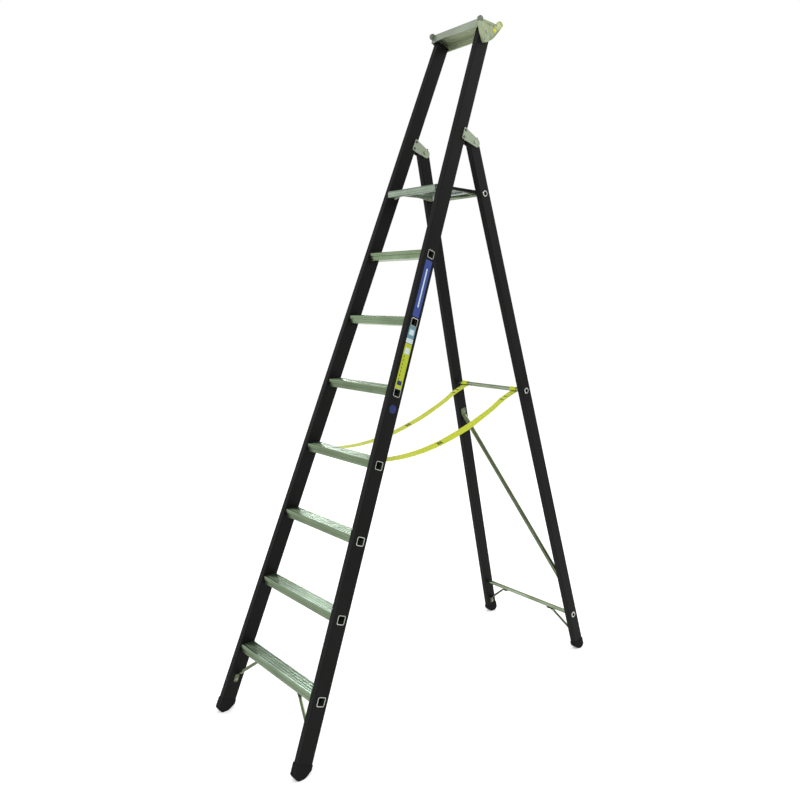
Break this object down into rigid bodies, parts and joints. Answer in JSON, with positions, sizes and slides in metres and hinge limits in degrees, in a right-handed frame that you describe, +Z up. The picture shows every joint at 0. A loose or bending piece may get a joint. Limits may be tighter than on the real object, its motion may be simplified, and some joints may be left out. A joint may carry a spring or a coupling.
{
  "type": "folding platform stepladder",
  "caption": "Folding aluminium platform stepladder with flaring black stiles, ribbed treads, a guard rail, a bucket hook and webbing stay straps.",
  "frame": {"origin": "on the ground at the middle of the four feet's footprint", "axes": "+Z up, +X to the right of a person climbing, +Y from the climbing side to the rear legs"},
  "size_m": [0.5352, 1.4544, 2.5352],
  "materials": {
    "black_rail": "matte black coating over an aluminium extrusion",
    "aluminium": "mill-finish extrusion, fine brushed grain",
    "zinc": "bright zinc-plated",
    "rubber": "matte black",
    "webbing": "yellow-green woven webbing",
    "hook_plastic": "pale yellow-green translucent moulding",
    "grey_plastic": "grey moulding",
    "white_plastic": "white moulding"
  },
  "bodies": {
    "front_frame": {"left_stile": "black_rail", "right_stile": "black_rail", "left_front_foot": "rubber", "right_front_foot": "rubber", "left_tread_brace_rivet": "zinc", "right_tread_brace_rivet": "zinc", "left_tread_brace_top_rivet": "zinc", "right_tread_brace_top_rivet": "zinc", "upper_hook_rivet": "zinc", "lower_hook_rivet": "zinc", "left_upper_plate_rivet": "zinc", "left_lower_plate_rivet": "zinc", "right_upper_plate_rivet": "zinc", "right_lower_plate_rivet": "zinc", "left_pivot_bolt": "zinc", "right_pivot_bolt": "zinc", "left_platform_bolt": "zinc", "right_platform_bolt": "zinc", "left_strap_rivet": "zinc", "right_strap_rivet": "zinc", "left_strap": "webbing", "right_strap": "webbing", "bucket_hook": "hook_plastic", "left_end_cap": "grey_plastic", "tread_1": "aluminium", "tread_2": "aluminium", "tread_3": "aluminium", "tread_4": "aluminium", "tread_5": "aluminium", "tread_6": "aluminium", "tread_7": "aluminium", "top_rail": "aluminium", "left_tread_brace": "aluminium", "left_outer_plate": "aluminium", "left_inner_plate": "aluminium", "right_tread_brace": "aluminium", "right_outer_plate": "aluminium", "right_inner_plate": "aluminium"},
    "back_frame": {"left_leg": "black_rail", "right_leg": "black_rail", "left_rear_foot": "rubber", "right_rear_foot": "rubber", "left_bar_brace": "aluminium", "right_bar_brace": "aluminium", "left_bar_brace_rivet": "zinc", "right_bar_brace_rivet": "zinc", "left_bar_brace_top_rivet": "zinc", "right_bar_brace_top_rivet": "zinc", "platform_rod": "aluminium", "strap_bar": "aluminium", "lower_bar": "aluminium", "diagonal_brace": "aluminium", "upper_diagonal_rivet": "zinc", "lower_diagonal_rivet": "zinc"},
    "platform": {"platform_nosing": "aluminium", "platform_deck": "aluminium", "left_platform_bracket": "aluminium", "right_platform_bracket": "aluminium", "left_rod_clip": "white_plastic", "right_rod_clip": "white_plastic"}
  },
  "joints": [
    {"name": "back_fold", "type": "hinge", "parent": "front_frame", "child": "back_frame", "pos_m": [0, 0.133, 2.063], "axis": [-1, 0, 0], "range_deg": [0, 35.5], "deforming": ["left_strap", "right_strap"]},
    {"name": "platform_tilt", "type": "hinge", "parent": "front_frame", "child": "platform", "pos_m": [0, -0.012, 1.878], "axis": [1, 0, 0], "range_deg": [0, 70]}
  ],
  "couplings": [
    {"joint": "platform_tilt", "follows": "back_fold", "ratio": 1.97}
  ]
}
